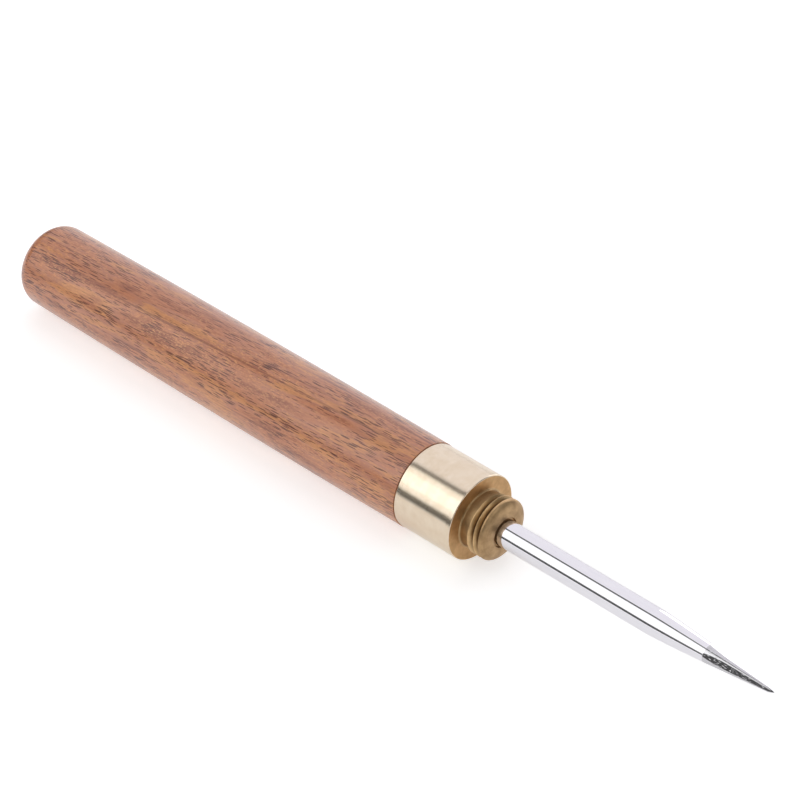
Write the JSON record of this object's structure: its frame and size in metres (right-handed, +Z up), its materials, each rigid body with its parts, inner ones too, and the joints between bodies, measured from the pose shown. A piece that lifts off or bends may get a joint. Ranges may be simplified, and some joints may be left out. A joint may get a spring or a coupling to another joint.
{
  "type": "scratch awl",
  "caption": "Wooden-handled scratch awl whose threaded brass head unscrews, so that the ground steel point can be stored in the bored handle.",
  "frame": {"origin": "on the ground plane below the middle of the awl's length: centre of the overall box in X and Y, lowest point of the handle's widest ring in Z", "axes": "+X along the awl's axis towards the point, +Z up with the awl lying on its side, +Y to the left when looking towards the point"},
  "size_m": [0.1522, 0.0146, 0.0145],
  "materials": {
    "handle_wood": "satin lacquer",
    "turned_brass": "fine turned, brushed round the axis",
    "bushing_brass": "as machined",
    "polished_steel": "polished",
    "soft_solder": "dull"
  },
  "bodies": {
    "handle": {"handle": "handle_wood", "handle_bushing": "bushing_brass"},
    "head_lead": {"blade_solder": "soft_solder"},
    "head": {"brass_head": "turned_brass", "blade": "polished_steel"}
  },
  "joints": [
    {"name": "head_travel", "type": "slide", "parent": "handle", "child": "head_lead", "axis": [1, 0, 0], "range_m": [0, 0.0021]},
    {"name": "head_turn", "type": "hinge", "parent": "head_lead", "child": "head", "pos_m": [0.01597, 0, 0.00727], "axis": [1, 0, 0], "range_deg": [0, 720]}
  ],
  "couplings": [
    {"joint": "head_travel", "follows": "head_turn", "m_per_rad": 0.00015915}
  ]
}
